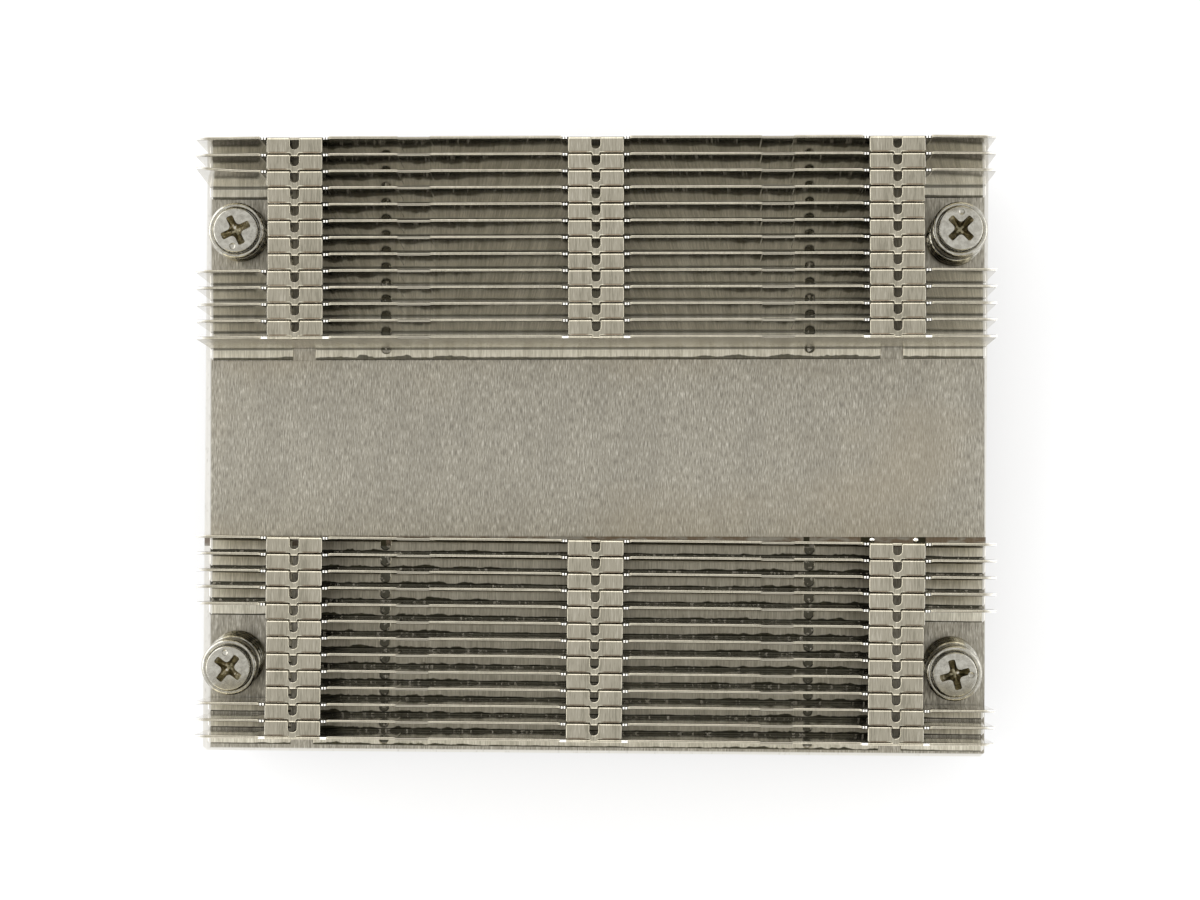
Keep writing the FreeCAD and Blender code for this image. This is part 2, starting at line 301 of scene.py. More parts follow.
def fin_blank(length, depth, tabbed, hole):
    """The flat blank of a fin: its loops, and the lines along which it is folded and pressed."""
    half = length / 2
    flat = FOLD_OUTSIDE - FOLD_RUN
    outer = [(-half, FLANGE_FREE + FLANGE_CORNER_CUT), (-half + FLANGE_CORNER_CUT, FLANGE_FREE)]
    for centre in SLOT_CENTRES:
        left, right = centre - SLOT_WIDTH / 2, centre + SLOT_WIDTH / 2
        outer += [(left, FLANGE_FREE), (left, flat), (right, flat), (right, FLANGE_FREE)]
    outer += [(half - FLANGE_CORNER_CUT, FLANGE_FREE), (half, FLANGE_FREE + FLANGE_CORNER_CUT)]
    tabs = [tab_outline(centre, depth) for centre in reversed(TAB_CENTRES)] if tabbed else []
    top = [point for outline in tabs for point in outline]
    if length < FIN_LENGTH:
        top = tab_ends(top, half)
    else:
        top = [(half, FIN_HEIGHT)] + top + [(-half, FIN_HEIGHT)]
    fold_start = FIN_HEIGHT - FOLD_OUTSIDE
    loops = [outer + top]
    loops += [window(centre, FOOT_HOLE_WIDTH, flat + 0.1, flat - hole) for centre in FOOT_HOLE_CENTRES]
    if tabbed:
        round_centre = fold_start + FOLD_RUN + WINDOW_END - WINDOW_WIDTH / 2 - FOLD_OUTSIDE
        loops += [window(centre, WINDOW_WIDTH, FIN_HEIGHT - WINDOW_SILL, round_centre) for centre in TAB_CENTRES]
    over = half + LINE_OVERRUN
    lines = [((-over, s), (over, s)) for s in fold_heights(flat)]
    lines += [((-over, s), (over, s)) for s in PROUD_FOOT]
    if tabbed:
        for centre in TAB_CENTRES:
            reach = TAB_WIDTH / 2 + 0.03
            lines += [((centre - reach, s), (centre + reach, s)) for s in fold_heights(fold_start)]
            lines += [((centre - 0.7, s), (centre + 0.7, s)) for s in tongue_bends(fold_start + FOLD_RUN + depth)]
    lines += [((u, PROUD_FOOT[0]), (u, FIN_HEIGHT + 0.1)) for u in press_lines(half)]
    return [inset(loop, RIM_OUT) for loop in loops], lines


def tab_ends(top, half):
    """The top edge of a short fin, whose end tabs reach its ends."""
    return [point for point in top if abs(point[0]) <= half + 1e-6]


def fold_heights(start):
    """The places on the blank between which a fold bends."""
    return [start + FOLD_RUN * k / FOLD_STEPS for k in range(FOLD_STEPS + 1)]


def tongue_bends(edge):
    """The places on the blank at which a tongue bends down into the next window."""
    start = edge + TAB_GAP + TONGUE_BEND - FOLD_OUTSIDE
    return [start + TONGUE_BEND_RADIUS * math.radians(60) * k / 3 for k in range(4)]


def press_lines(half):
    """The places along a fin at which its wall steps, and some more along its left end, which may be bent."""
    places = list(BENT_PLACES)
    for centre in PANEL_CENTRES:
        places += [centre + side * reach for side in (-1, 1) for reach in (PANEL_HALF - PANEL_RAMP, PANEL_HALF)]
    for centre in TAB_CENTRES:
        near = TAB_WIDTH / 2 + TAB_ZONE
        places += [centre + side * reach for side in (-1, 1) for reach in (near, near + TAB_ZONE_RAMP)]
    return [u for u in places if abs(u) < half - 0.3]


def ramp(value, start, end):
    """0 before start, 1 after end and straight between."""
    return min(max((value - start) / (end - start), 0.0), 1.0)


def proud(u, s, ends):
    """How far a wall stands out at a place on the blank."""
    share = min(ramp(abs(u - centre), TAB_WIDTH / 2 + TAB_ZONE, TAB_WIDTH / 2 + TAB_ZONE + TAB_ZONE_RAMP)
                for centre in TAB_CENTRES)
    share = min([share] + [ramp(abs(u - centre), PANEL_HALF - PANEL_RAMP, PANEL_HALF) for centre in PANEL_CENTRES])
    return PROUD * share * ramp(s, *PROUD_FOOT) * (1 - (1 - ends) * ramp(abs(u), *END_FADE))


def folded(u, s, across, bank, tabbed, bent):
    """The place in the folded fin of a point on the blank, at a distance across the sheet from its middle."""
    flat = FOLD_OUTSIDE - FOLD_RUN
    fold_start = FIN_HEIGHT - FOLD_OUTSIDE
    in_tab = tabbed and any(abs(u - centre) < TAB_WIDTH / 2 + RIM_OUT for centre in TAB_CENTRES)
    if s < FOLD_OUTSIDE:
        turn = min((FOLD_OUTSIDE - s) / FOLD_MIDDLE, math.pi / 2)
        run = max(flat - s, 0.0)
        y = -FOLD_OUTSIDE + (FOLD_MIDDLE + across) * math.cos(turn) - run
        z = FOLD_OUTSIDE - (FOLD_MIDDLE + across) * math.sin(turn)
    elif s > fold_start and in_tab:
        turn = min((s - fold_start) / FOLD_MIDDLE, math.pi / 2)
        run = max(s - fold_start - FOLD_RUN, 0.0)
        level = bank["pitch"] + TONGUE_BEND - FOLD_OUTSIDE
        drop = min(max(run - level, 0.0) / TONGUE_BEND_RADIUS, math.radians(60))
        tail = max(run - level - TONGUE_BEND_RADIUS * math.radians(60), 0.0)
        out = TONGUE_BEND_RADIUS + across
        y = -FOLD_OUTSIDE + (FOLD_MIDDLE + across) * math.cos(turn) - min(run, level)
        y -= out * math.sin(drop) + tail * math.cos(drop)
        z = fold_start + (FOLD_MIDDLE + across) * math.sin(turn) - out * (1 - math.cos(drop)) - tail * math.sin(drop)
    else:
        y = -SHEET / 2 + across + proud(u, s, bank["ends"])
        z = s
    angle = math.radians(bank["lean"]) * ramp(s, flat, FOLD_OUTSIDE)
    y, z = y * math.cos(angle) + z * math.sin(angle), z * math.cos(angle) - y * math.sin(angle)
    if bent and u < BENT_FROM:
        share = (BENT_FROM - u) / (BENT_FROM + FIN_LENGTH / 2)
        y += BENT_RISE * share * share * z / FIN_HEIGHT
    return Vector((u, y, z))


def fin(length, bank, tabbed, bent):
    """One fin, cut out as a blank and folded, with the blank's own places as its UV map."""
    loops, lines = fin_blank(length, bank["pitch"] - TAB_GAP, tabbed, bank["hole"])
    corners, faces = cut_out(loops, lines)
    border = rim_edges(faces)
    after, before = dict(border), {end: start for start, end in border}
    count = len(corners)
    points = [folded(*corner, SHEET / 2, bank, tabbed, bent) for corner in corners]
    points += [folded(*corner, -SHEET / 2, bank, tabbed, bent) for corner in corners]
    places = list(corners) * 2
    polygons = list(faces) + [tuple(count + k for k in reversed(face)) for face in faces]
    layers = {0: {k: k for k in after}, len(RIM) - 1: {k: count + k for k in after}}
    for layer, (out, across) in enumerate(RIM[1:-1], 1):
        layers[layer] = {}
        for k in after:
            way = corner_direction(corners[before[k]], corners[k], corners[after[k]])
            place = corners[k] + way * out
            layers[layer][k] = len(points)
            points.append(folded(*place, across, bank, tabbed, bent))
            places.append(place)
    for start, end in border:
        for layer in range(len(RIM) - 1):
            upper, lower = layers[layer], layers[layer + 1]
            polygons.append((upper[end], upper[start], lower[start], lower[end]))
    piece = mesh_object("fin", points, polygons, [PLATED_SHEET])
    blank_map = piece.data.uv_layers.new(name="Blank")
    for loop in piece.data.loops:
        blank_map.data[loop.index].uv = places[loop.vertex_index] * MM
    return smooth(piece, 22.0)


# Geometry trees


def tree(name, inputs):
    """A new geometry tree with its geometry sockets and named inputs."""
    made = bpy.data.node_groups.new(name, "GeometryNodeTree")
    made.interface.new_socket("Geometry", in_out="INPUT", socket_type="NodeSocketGeometry")
    for label, kind in inputs:
        made.interface.new_socket(label, in_out="INPUT", socket_type="NodeSocket" + kind)
    made.interface.new_socket("Geometry", in_out="OUTPUT", socket_type="NodeSocketGeometry")
    return made, made.nodes.new("NodeGroupInput").outputs, made.nodes.new("NodeGroupOutput").inputs


def step(made, kind, values=(), **settings):
    """One more node in a tree. A value is a number, a vector or another node's output."""
    node = made.nodes.new(kind)
    for key, value in settings.items():
        setattr(node, key, value)
    for key, value in dict(values).items():
        if isinstance(value, bpy.types.NodeSocket):
            made.links.new(value, node.inputs[key])
        else:
            node.inputs[key].default_value = value
    return node.outputs


def maths(made, operation, *values):
    """The output of a math node."""
    return step(made, "ShaderNodeMath", dict(enumerate(values)), operation=operation)[0]


def product(made, first, *others):
    """All the values multiplied."""
    for other in others:
        first = maths(made, "MULTIPLY", first, other)
    return first


def largest(made, first, *others):
    """The largest of the values."""
    for other in others:
        first = maths(made, "MAXIMUM", first, other)
    return first


def hand_over(made, shape, material, result):
    """The tree's result: the real mesh of a shape, in its finish."""
    real = step(made, "GeometryNodeRealizeInstances", {"Geometry": shape})[0]
    finished = step(made, "GeometryNodeSetMaterial", {"Geometry": real, "Material": material})[0]
    made.links.new(finished, result[0])
    return made


def fin_run_tree():
    """A run of equal fins: the given fin repeated at a pitch and turned with its bank."""
    inputs = [("Fins", "Int"), ("First", "Int"), ("Pitch", "Float"), ("Turn", "Float"), ("Finish", "Material")]
    made, given, result = tree("fin run", inputs)
    back = product(made, given["Pitch"], -1.0)
    offset = step(made, "ShaderNodeCombineXYZ", {"Y": back})[0]
    start = step(made, "ShaderNodeCombineXYZ", {"Y": product(made, back, given["First"])})[0]
    feet = step(made, "GeometryNodeMeshLine", {"Count": given["Fins"], "Start Location": start, "Offset": offset})[0]
    fins = step(made, "GeometryNodeInstanceOnPoints", {"Points": feet, "Instance": given["Geometry"]})[0]
    turn = step(made, "ShaderNodeCombineXYZ", {"Z": given["Turn"]})[0]
    turned = step(made, "GeometryNodeTransform", {"Geometry": fins, "Rotation": turn})[0]
    return hand_over(made, turned, given["Finish"], result)


def wound_tree():
    """A wire wound about Z: closed turns, live turns and closed turns again, drawn sideways by a lean."""
    sizes = ["Coil radius", "Wire radius", "Height", "Live turns", "Closed turns", "Run X", "Run Y"]
    inputs = [(label, "Float") for label in sizes] + [("Steps", "Int"), ("Wire sides", "Int"), ("Finish", "Material")]
    made, given, result = tree("wound wire", inputs)
    last = maths(made, "SUBTRACT", given["Steps"], 1.0)
    share = maths(made, "DIVIDE", step(made, "GeometryNodeInputIndex")[0], last)
    ends = product(made, given["Closed turns"], 2.0)
    turn = product(made, share, maths(made, "ADD", given["Live turns"], ends))
    angle = product(made, turn, 2 * math.pi)
    wire = product(made, given["Wire radius"], 2.0)
    past = largest(made, maths(made, "SUBTRACT", turn, given["Closed turns"]), 0.0)
    live = maths(made, "MINIMUM", past, given["Live turns"])
    closed = maths(made, "SUBTRACT", turn, live)
    solid = product(made, wire, maths(made, "ADD", ends, 1.0))
    rise = maths(made, "DIVIDE", maths(made, "SUBTRACT", given["Height"], solid), given["Live turns"])
    height = maths(made, "MULTIPLY_ADD", closed, wire, given["Wire radius"])
    height = maths(made, "MULTIPLY_ADD", live, rise, height)
    x = product(made, given["Coil radius"], maths(made, "COSINE", angle))
    y = product(made, given["Coil radius"], maths(made, "SINE", angle))
    x = maths(made, "MULTIPLY_ADD", height, given["Run X"], x)
    y = maths(made, "MULTIPLY_ADD", height, given["Run Y"], y)
    place = step(made, "ShaderNodeCombineXYZ", {"X": x, "Y": y, "Z": height})[0]
    line = step(made, "GeometryNodeMeshLine", {"Count": given["Steps"]})[0]
    wound = step(made, "GeometryNodeSetPosition", {"Geometry": line, "Position": place})[0]
    curve = step(made, "GeometryNodeMeshToCurve", {"Mesh": wound})[0]
    ring = {"Resolution": given["Wire sides"], "Radius": given["Wire radius"]}
    section = step(made, "GeometryNodeCurvePrimitiveCircle", ring)[0]
    tube = step(made, "GeometryNodeCurveToMesh", {"Curve": curve, "Profile Curve": section, "Fill Caps": True})[0]
    return hand_over(made, tube, given["Finish"], result)


def grown(name, made, start, values):
    """The plain mesh that a geometry tree makes from a starting object, which goes."""
    sockets = {item.name: item.identifier for item in made.interface.items_tree if item.in_out == "INPUT"}
    modifier = start.modifiers.new(made.name, "NODES")
    modifier.node_group = made
    for label, value in values.items():
        modifier[sockets[label]] = value
    bpy.context.view_layer.update()
    mesh = bpy.data.meshes.new_from_object(start.evaluated_get(bpy.context.evaluated_depsgraph_get()))
    bpy.data.objects.remove(start)
    piece = bpy.data.objects.new(name, mesh)
    bpy.context.scene.collection.objects.link(piece)
    return piece


# Finishes


def finish(name, roughness):
    """A new metal with its tree and its shader."""
    material = bpy.data.materials.new(name)
    material.use_nodes = True
    shader = material.node_tree.nodes["Principled BSDF"]
    shader.inputs["Metallic"].default_value = 1.0
    shader.inputs["Roughness"].default_value = roughness
    return material, material.node_tree, shader


def noise(made, place, scale, detail=2.0, rough=0.5):
    """Noise over a stretched place, about 0 to 1."""
    stretched = step(made, "ShaderNodeMapping", {"Vector": place, "Scale": scale})[0]
    values = {"Vector": stretched, "Scale": 1.0, "Detail": detail, "Roughness": rough}
    return step(made, "ShaderNodeTexNoise", values)["Fac"]


def between(made, value, low, high, to_low=0.0, to_high=1.0):
    """A value taken from one range to another and held at its ends."""
    values = {0: value, 1: low, 2: high, 3: to_low, 4: to_high}
    return step(made, "ShaderNodeMapRange", values, interpolation_type="SMOOTHSTEP")[0]


def blended(made, share, first, second):
    """One colour into another."""
    node = made.nodes.new("ShaderNodeMix")
    node.data_type = "RGBA"
    for key, value in ((0, share), (6, first), (7, second)):
        if isinstance(value, bpy.types.NodeSocket):
            made.links.new(value, node.inputs[key])
        else:
            node.inputs[key].default_value = value if key == 0 else (*value, 1.0)
    return node.outputs[2]


def bumped(made, shader, height, strength, distance):
    """Relief from a height."""
    bump = step(made, "ShaderNodeBump", {"Height": height, "Strength": strength, "Distance": distance})[0]
    made.links.new(bump, shader.inputs["Normal"])


NICKEL_DARK = (0.268, 0.249, 0.207)
NICKEL = (0.425, 0.395, 0.325)
NICKEL_LIGHT = (0.680, 0.645, 0.555)
NICKEL_WARM = (0.43, 0.37, 0.27)
SHEET_DARK = (0.335, 0.308, 0.238)
SHEET_NICKEL = (0.445, 0.410, 0.322)
SHEET_LIGHT = (0.570, 0.530, 0.432)
# Flux, and painted shade under the banks, at the fins' feet and in the reliefs
FLUX_AND_SHADE = (0.024, 0.022, 0.011)
# Olive flux, also used as painted shade at the fins' feet
FLUX_AND_SHADE_OLIVE = (0.060, 0.055, 0.030)
# Flux brown, also used as painted shade where a tab meets the next fold
FLUX_BROWN_AND_SHADE = (0.130, 0.088, 0.052)
# Painted light for the sheet down in the gaps
SHEET_GAP_LIGHT = (0.600, 0.560, 0.450)
SHEET_GAP_LIGHT_BRIGHT = (0.920, 0.875, 0.740)
# Darker tone painted on the walls' top edges
SHEET_DARKER_EDGE = (0.240, 0.222, 0.180)
# Painted highlight, for edges, fin ends and relief teeth
EDGE_HIGHLIGHT = (0.900, 0.880, 0.830)

# Marks on the base's flats, in metres from the object's middle
SOFT = 0.0001
# Where painted highlights run along the base's edges
LEFT_EDGE_HIGHLIGHT = (-0.05100, -0.05070)
RIGHT_EDGE_HIGHLIGHT = (0.05125, 0.05145)
FRONT_EDGE_HIGHLIGHT = (-0.03995, -0.03975)
SEAM = (-0.01290, -0.01160)
SEAM_POOLS = ((0.0357, 0.0006), (0.0431, 0.0006), (0.02795, 0.0004), (-0.02795, 0.0004))
BANK_REACH = (0.0128, 0.0390)
BANK_BODY_END = 0.0420
BANK_END = 0.0508
FRONT_END_REACH = (-0.0223, -0.0128)
SLOT_PERIOD = 0.0388
SLOT_EDGE = (0.0016, 0.0018)

# Marks on the sheet, in metres on the blank, and the walls that face the open, in metres from the object's middle
PAST_TABS = (0.0415, 0.0425)
GAP_DEPTH = (0.004, 0.0195)
# Where painted highlights lie at the fins' ends
FIN_END_HIGHLIGHT = (0.0495, 0.0508)
FLANGE_END_HIGHLIGHT = (0.05078, 0.05090)
REAR_FACE = (0.0384, 0.0386)
FRONT_FACE = (-0.0369, -0.0367)
STRIP_FACES = (-0.0137, 0.0149)


def brushed(made, place, across, along, third):
    """Short light and dark strokes in a plated surface, laid along one direction, about 0 to 1."""
    fine = noise(made, place, (across, along, third), 2.0, 0.6)
    broad = noise(made, place, (across * 0.12, along * 0.25, third * 0.25), 2.0, 0.5)
    return maths(made, "MULTIPLY_ADD", broad, 0.35, product(made, fine, 0.65))


def within(made, value, low, high, soft):
    """1 where a value lies between two limits and 0 outside, with soft edges."""
    start = between(made, value, low - soft, low + soft)
    return product(made, start, between(made, value, high - soft, high + soft, 1.0, 0.0))


def below(made, value, limit, soft):
    """1 where a value lies below a limit and 0 above it, with a soft edge."""
    return between(made, maths(made, "SUBTRACT", value, limit), -soft, soft, 1.0, 0.0)


def by_bank(made, y, front, rear):
    """One value in the front bank and another in the rear bank."""
    return between(made, y, -0.001, 0.001, front, rear)


def plated_flat():
    """Nickel plate over a brushed flat, with painted edge highlights, and flux and painted shade under the fins."""
    material, made, shader = finish("plated base", 0.34)
    coordinates = step(made, "ShaderNodeTexCoord")
    place = coordinates["Object"]
    own = step(made, "ShaderNodeSeparateXYZ", {0: place})
    side = maths(made, "ABSOLUTE", own["X"])
    up = between(made, step(made, "ShaderNodeSeparateXYZ", {0: coordinates["Normal"]})["Z"], 0.4, 0.8)

    # Strokes along Y, with darker patches and a warmer tint here and there
    strokes = noise(made, place, (7800.0, 900.0, 900.0), 2.0, 0.6)
    broad = noise(made, place, (420.0, 120.0, 120.0), 2.0, 0.5)
    colour = blended(made, between(made, strokes, 0.34, 0.50), NICKEL_DARK, NICKEL)
    colour = blended(made, between(made, strokes, 0.52, 0.70), colour, NICKEL_LIGHT)
    colour = blended(made, between(made, broad, 0.3, 0.75, 0.0, 0.30), colour, NICKEL_DARK)
    tint = between(made, noise(made, place, (38.0, 60.0, 60.0), 3.0), 0.52, 0.75, 0.0, 0.35)
    colour = blended(made, tint, colour, NICKEL_WARM)

    # Painted highlights along the left, right and front edges, broken up by noise
    highlight_breaks = noise(made, place, (2500.0, 900.0, 900.0), 2.0, 0.6)
    left = maths(made, "MULTIPLY_ADD", own["Y"], 0.0057, own["X"])
    right = maths(made, "MULTIPLY_ADD", own["Y"], 0.0075, own["X"])
    edge_highlight = largest(
        made,
        between(made, left, *LEFT_EDGE_HIGHLIGHT, 1.0, 0.0),
        between(made, right, *RIGHT_EDGE_HIGHLIGHT),
        between(made, own["Y"], *FRONT_EDGE_HIGHLIGHT, 1.0, 0.0),
    )
    edge_highlight = product(made, edge_highlight, up, between(made, highlight_breaks, 0.25, 0.45, 0.75, 1.0))
    colour = blended(made, edge_highlight, colour, EDGE_HIGHLIGHT)

    # A brown seam of flux between the centre plate and the front bank
    beside_plate = maths(made, "MULTIPLY_ADD", own["X"], -0.0064, own["Y"])
    seam = product(made, within(made, beside_plate, *SEAM, 0.00003), up)
    mottle = noise(made, place, (380.0, 900.0, 900.0), 3.0, 0.6)
    brown = blended(made, between(made, mottle, 0.42, 0.62), FLUX_BROWN_AND_SHADE, NICKEL_DARK)
    colour = blended(made, product(made, seam, 0.85), colour, brown)

    # Dark flux pools in the seam; flux and painted shade under the banks, seen between flanges and through holes
    spots = [within(made, own["X"], middle - half, middle + half, SOFT) for middle, half in SEAM_POOLS]
    pools = product(made, largest(made, *spots), seam)
    bodies = product(
        made,
        within(made, maths(made, "ABSOLUTE", own["Y"]), *BANK_REACH, SOFT),
        between(made, side, BANK_BODY_END - SOFT, BANK_BODY_END + SOFT, 1.0, 0.0),
    )
    ends = product(
        made, within(made, own["Y"], *FRONT_END_REACH, SOFT), within(made, side, BANK_BODY_END, BANK_END, SOFT)
    )
    slots = between(made, maths(made, "PINGPONG", own["X"], SLOT_PERIOD / 2), *SLOT_EDGE)
    # Spots left bare of the flux and painted shade stand for painted glints
    glints = between(made, noise(made, place, (1700.0, 1700.0, 1700.0), 2.0, 0.5), 0.60, 0.64, 1.0, 0.0)
    under = product(made, largest(made, bodies, ends), slots, 0.92, glints)
    flux_and_shade = product(made, largest(made, pools, under), up)
    colour = blended(made, product(made, flux_and_shade, 0.95), colour, FLUX_AND_SHADE)
    made.links.new(colour, shader.inputs["Base Color"])
    rough = between(made, strokes, 0.3, 0.7, 0.40, 0.28)
    made.links.new(between(made, flux_and_shade, 0.0, 1.0, rough, 0.12), shader.inputs["Roughness"])
    bumped(made, shader, strokes, 0.15, 0.00003)
    return material


def foot_flux_and_shade(made, along, own, side, outer):
    """Flux with painted shade on a fin's free flange edge and the wall's foot beside it; painted shade in the bend.
    """
    foot = step(made, "ShaderNodeCombineXYZ", {"X": along["X"], "Z": own["Y"]})[0]
    wave = maths(made, "PINGPONG", along["X"], 0.028)
    reach = product(
        made,
        between(made, noise(made, foot, (300.0, 1.0, 460.0), 3.0, 0.6), 0.36, 0.70),
        between(made, wave, 0.008, 0.024, 0.25, 1.0),
        between(made, wave, 0.0262, 0.0272, 1.0, 0.4),
        between(made, side, 0.043, 0.046, 1.0, 0.3),
    )
    wall_top = maths(made, "MULTIPLY_ADD", reach, 0.0007, 0.0004)
    above_base = between(made, along["Y"], -0.0001, 0.0001)
    on_wall = product(made, below(made, along["Y"], wall_top, 0.0002), outer, above_base)
    flange_edge = by_bank(made, own["Y"], (FLANGE_FREE + 0.12) * MM, (FLANGE_FREE + 0.30) * MM)
    flange_edge = maths(made, "MULTIPLY_ADD", reach, 0.00042, flange_edge)
    on_flange = below(made, along["Y"], flange_edge, 0.00006)
    bend_shade = product(
        made,
        below(made, along["Y"], by_bank(made, own["Y"], 0.0007, 0.0024), 0.0003),
        between(made, along["Y"], -0.00018, -0.00010),
        between(made, outer, 0.0, 1.0, 1.0, 0.0),
        0.8,
    )
    return largest(made, on_wall, on_flange, bend_shade)


def sheet_roughness(made, along, own, facing, outer, strokes):
    """Glossy walls in the gaps; satin flanges, folds and walls that face the open."""
    strip_front, strip_rear = STRIP_FACES
    to_rear = largest(made, between(made, own["Y"], *REAR_FACE), within(made, own["Y"], strip_front, 0.0, SOFT))
    to_front = largest(
        made, between(made, own["Y"], *FRONT_FACE, 1.0, 0.0), within(made, own["Y"], 0.0, strip_rear, SOFT)
    )
    open_face = largest(
        made,
        product(made, to_front, between(made, facing["Y"], -0.6, -0.1, 1.0, 0.0)),
        product(made, to_rear, outer),
    )
    rough = largest(
        made,
        between(made, along["Y"], -0.0004, 0.0005, 0.36, 0.07),
        between(made, along["Y"], 0.0206, 0.0211, 0.0, 0.20),
        product(made, open_face, 0.24),
    )
    return maths(made, "MULTIPLY_ADD", strokes, -0.06, maths(made, "ADD", rough, 0.03))


def plated_sheet():
    """Nickel-plated sheet brushed up the blank, flux and painted shade at its foot, painted highlights at its ends.
    """
    material, made, shader = finish("plated sheet", 0.14)
    coordinates = step(made, "ShaderNodeTexCoord")
    place = coordinates["Object"]
    along = step(made, "ShaderNodeSeparateXYZ", {0: coordinates["UV"]})
    own = step(made, "ShaderNodeSeparateXYZ", {0: place})
    facing = step(made, "ShaderNodeSeparateXYZ", {0: coordinates["Normal"]})
    side = maths(made, "ABSOLUTE", along["X"])
    outer = between(made, facing["Y"], 0.1, 0.6)
    spot = step(made, "ShaderNodeCombineXYZ", {"X": along["X"], "Y": along["Y"], "Z": own["Y"]})[0]
    strokes = brushed(made, spot, 6000.0, 420.0, 260.0)
    colour = blended(made, between(made, strokes, 0.38, 0.50), SHEET_DARK, SHEET_NICKEL)
    colour = blended(made, between(made, strokes, 0.53, 0.68), colour, SHEET_LIGHT)

    # Painted light down in the gaps: the plate is painted lighter towards the foot, more so past the end tabs
    end_light_share = product(made, between(made, side, *PAST_TABS), by_bank(made, own["Y"], 0.84, 0.62))
    gap_light_share = largest(made, by_bank(made, own["Y"], 0.40, 0.68), end_light_share)
    gap_light = product(made, between(made, along["Y"], *GAP_DEPTH, 1.0, 0.0), gap_light_share)
    gap_light_colour = blended(made, between(made, strokes, 0.36, 0.66), SHEET_GAP_LIGHT, SHEET_GAP_LIGHT_BRIGHT)
    colour = blended(made, gap_light, colour, gap_light_colour)

    # Solder flux with painted shade where a flange meets the next wall, and painted shade in the bend
    flux_and_shade_share = product(made, foot_flux_and_shade(made, along, own, side, outer), by_bank(made, own["Y"], 0.95, 0.84))
    olive = between(made, noise(made, place, (1400.0, 1400.0, 1400.0), 2.0), 0.45, 0.7)
    colour = blended(made, flux_and_shade_share, colour, blended(made, olive, FLUX_AND_SHADE, FLUX_AND_SHADE_OLIVE))

    # The reliefs beside each tab get painted shade, and their teeth painted highlights
    top = FIN_HEIGHT
    from_tab = maths(made, "PINGPONG", along["X"], TAB_CENTRES[2] / 2 * MM)
    in_relief = within(made, from_tab, (TAB_WIDTH / 2 - 0.02) * MM, (TAB_WIDTH / 2 + RELIEF_END) * MM, 0.00003)
    below_top = within(made, along["Y"], (top - 0.7) * MM, (top - 0.10) * MM, 0.00003)
    colour = blended(made, product(made, in_relief, below_top), colour, FLUX_AND_SHADE)
    teeth_highlight = product(made, in_relief, between(made, along["Y"], (top - 0.10) * MM, (top - 0.04) * MM), 0.9)
    colour = blended(made, teeth_highlight, colour, EDGE_HIGHLIGHT)

    # The walls' top edges are painted darker, most in the pressed panels
    panel = maths(made, "ABSOLUTE", maths(made, "SUBTRACT", side, PANEL_CENTRES[1] * MM))
    edge_darkening = product(
        made,
        between(made, panel, (PANEL_HALF - 0.05) * MM, PANEL_HALF * MM, 0.85, 0.45),
        between(made, from_tab, 0.0045, 0.0048),
        between(made, along["Y"], (top - 0.35) * MM, (top - 0.20) * MM),
    )
    colour = blended(made, edge_darkening, colour, SHEET_DARKER_EDGE)
    # A tab is brown with flux and painted shade where it meets the next fold
    tab_edge_flux_and_shade = product(
        made,
        between(made, along["Y"], (TAB_EDGE - 0.24) * MM, (TAB_EDGE - 0.10) * MM, 0.0, 0.75),
        within(made, from_tab, 0.00105, (TAB_WIDTH / 2 - 0.25) * MM, 0.0003),
    )
    colour = blended(made, tab_edge_flux_and_shade, colour, FLUX_BROWN_AND_SHADE)

    # Painted highlights at the ends
    top_end_highlight = product(made, between(made, side, *FIN_END_HIGHLIGHT), between(made, along["Y"], 0.0213, 0.0214))
    flange_end_highlight = product(
        made, between(made, side, *FLANGE_END_HIGHLIGHT), between(made, along["Y"], 0.0, 0.0002, 1.0, 0.0)
    )
    colour = blended(made, product(made, largest(made, top_end_highlight, flange_end_highlight), 0.85), colour, EDGE_HIGHLIGHT)
    made.links.new(colour, shader.inputs["Base Color"])
    made.links.new(sheet_roughness(made, along, own, facing, outer, strokes), shader.inputs["Roughness"])
    bumped(made, shader, strokes, 0.10, 0.00002)
    return material


def plated_turned(name, colour_dark, colour_light, roughness):
    """Bright plate on turned steel, with small specks and wear."""
    material, made, shader = finish(name, roughness)
    place = step(made, "ShaderNodeTexCoord")["Object"]
    specks = noise(made, place, (1500.0, 1500.0, 1500.0), 4.0, 0.65)
    colour = blended(made, between(made, specks, 0.35, 0.65), colour_dark, colour_light)
    made.links.new(colour, shader.inputs["Base Color"])
    made.links.new(between(made, specks, 0.3, 0.7, roughness * 1.25, roughness * 0.8), shader.inputs["Roughness"])
    bumped(made, shader, specks, 0.25, 0.00004)
    return material


def driver_recess():
    """The inside of the cross: browner than the head around it, darker with painted shade, with painted glints."""
    material, made, shader = finish("driver recess", 0.34)
    place = step(made, "ShaderNodeTexCoord")["Object"]
    mottle = noise(made, place, (900.0, 900.0, 900.0), 4.0, 0.65)
    colour = blended(made, between(made, mottle, 0.35, 0.60), (0.150, 0.135, 0.080), (0.46, 0.41, 0.28))
    # Painted glints
    colour = blended(made, between(made, mottle, 0.58, 0.63), colour, (0.90, 0.87, 0.78))
    made.links.new(colour, shader.inputs["Base Color"])
    bumped(made, shader, mottle, 0.5, 0.00015)
    return material


PLATED_BASE = plated_flat()
PLATED_SHEET = plated_sheet()
PLATED_STEEL = plated_turned("plated steel", (0.43, 0.41, 0.355), (0.60, 0.58, 0.51), 0.24)
SPRING_STEEL = plated_turned("spring wire", (0.34, 0.325, 0.27), (0.62, 0.60, 0.53), 0.20)
PLATED_SOLDER = plated_turned("solder", (0.90, 0.89, 0.86), (0.98, 0.97, 0.95), 0.22)
DRIVER_RECESS = driver_recess()


# Fin banks


